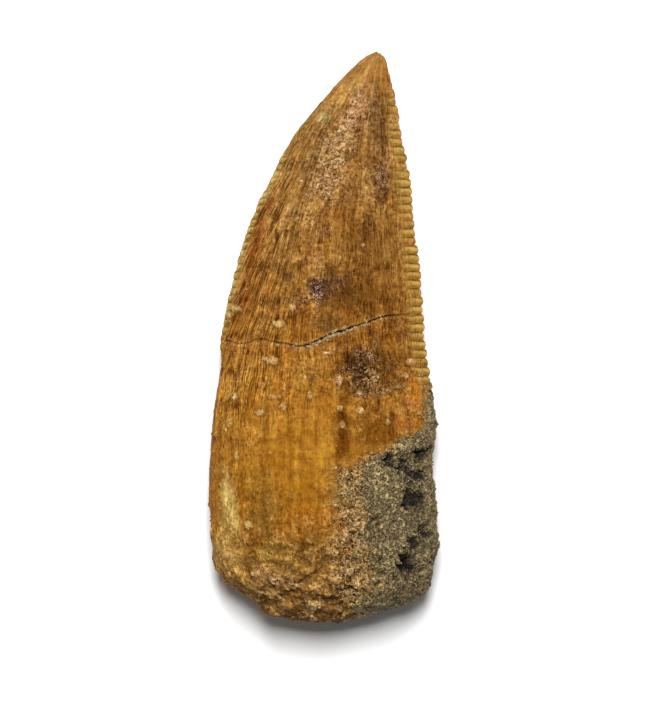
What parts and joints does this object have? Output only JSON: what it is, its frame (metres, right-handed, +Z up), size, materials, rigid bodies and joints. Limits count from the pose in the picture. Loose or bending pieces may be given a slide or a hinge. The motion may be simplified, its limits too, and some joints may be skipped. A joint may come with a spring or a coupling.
{
  "type": "fossil abelisaur tooth",
  "caption": "Fossil abelisaur tooth lying on its side: a recurved, flattened ochre crown with serrated edges and a crack across it, and grey sandstone matrix on the lower corner.",
  "frame": {"origin": "on the surface the tooth rests on, under the middle of its bounding box", "axes": "+Y from the worn base to the tip, +X from the convex mesial edge to the distal edge, +Z up through the tooth's thickness"},
  "size_m": [0.012, 0.03, 0.0061],
  "materials": {
    "enamel": "satin",
    "sandstone": "matte"
  },
  "bodies": {
    "root": {"tooth": "enamel", "matrix": "sandstone"}
  },
  "joints": []
}
